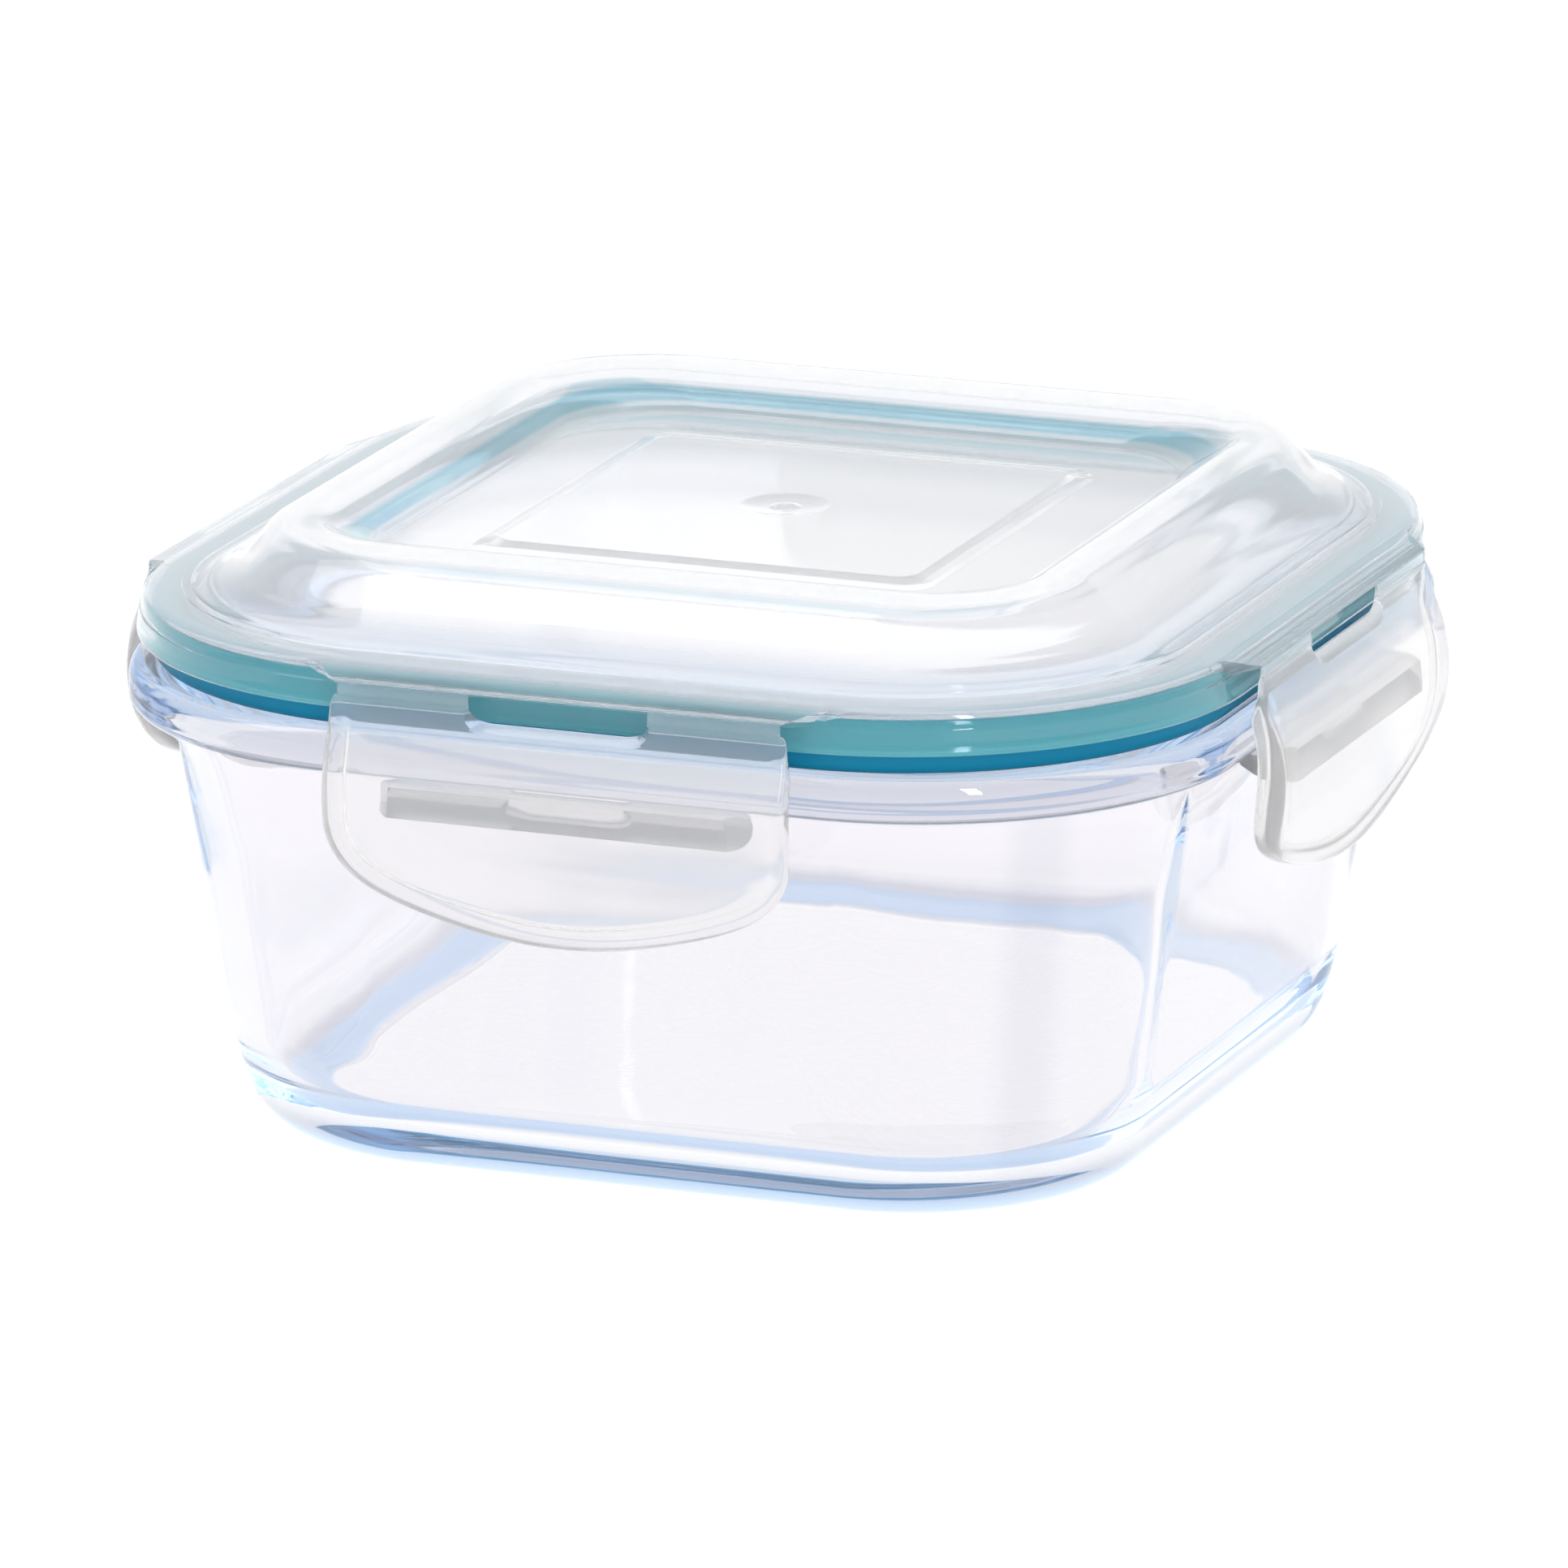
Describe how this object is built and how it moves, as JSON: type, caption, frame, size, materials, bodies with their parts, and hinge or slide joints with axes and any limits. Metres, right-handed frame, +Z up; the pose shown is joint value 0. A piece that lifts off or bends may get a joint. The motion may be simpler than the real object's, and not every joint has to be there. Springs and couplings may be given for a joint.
{
  "type": "glass storage container",
  "caption": "Square clear glass food container with a translucent plastic lid, a blue silicone gasket and a hinged snap-lock flap on each side.",
  "frame": {"origin": "centre of the bowl's base, on the surface it stands on", "axes": "+Z up out of the bowl, -Y towards the front flap"},
  "size_m": [0.1438, 0.1438, 0.0727],
  "materials": {
    "clear_glass": "fire-polished",
    "lid_plastic": "translucent, smooth moulded",
    "flap_plastic": "translucent, smooth moulded",
    "teal_silicone": "satin silicone"
  },
  "bodies": {
    "bowl": {"glass_bowl": "clear_glass"},
    "lid": {"lid": "lid_plastic", "gasket": "teal_silicone", "front_film_hinge_left": "flap_plastic", "front_film_hinge_right": "flap_plastic", "right_film_hinge_left": "flap_plastic", "right_film_hinge_right": "flap_plastic", "back_film_hinge_left": "flap_plastic", "back_film_hinge_right": "flap_plastic", "left_film_hinge_left": "flap_plastic", "left_film_hinge_right": "flap_plastic"},
    "front_flap": {"front_latch": "flap_plastic", "front_catch": "flap_plastic"},
    "right_flap": {"right_latch": "flap_plastic", "right_catch": "flap_plastic"},
    "back_flap": {"back_latch": "flap_plastic", "back_catch": "flap_plastic"},
    "left_flap": {"left_latch": "flap_plastic", "left_catch": "flap_plastic"}
  },
  "joints": [
    {"name": "lid_lift", "type": "slide", "parent": "bowl", "child": "lid", "axis": [0, 0, 1], "range_m": [0, 0.08]},
    {"name": "front_flap_hinge", "type": "hinge", "parent": "lid", "child": "front_flap", "pos_m": [0, -0.0688, 0.0618], "axis": [-1, 0, 0], "range_deg": [0, 125], "deforming": ["front_catch", "front_film_hinge_left", "front_film_hinge_right"]},
    {"name": "right_flap_hinge", "type": "hinge", "parent": "lid", "child": "right_flap", "pos_m": [0.0688, 0, 0.0618], "axis": [0, -1, 0], "range_deg": [0, 125], "deforming": ["right_catch", "right_film_hinge_left", "right_film_hinge_right"]},
    {"name": "back_flap_hinge", "type": "hinge", "parent": "lid", "child": "back_flap", "pos_m": [0, 0.0688, 0.0618], "axis": [1, 0, 0], "range_deg": [0, 125], "deforming": ["back_catch", "back_film_hinge_left", "back_film_hinge_right"]},
    {"name": "left_flap_hinge", "type": "hinge", "parent": "lid", "child": "left_flap", "pos_m": [-0.0688, 0, 0.0618], "axis": [0, 1, 0], "range_deg": [0, 125], "deforming": ["left_catch", "left_film_hinge_left", "left_film_hinge_right"]}
  ]
}
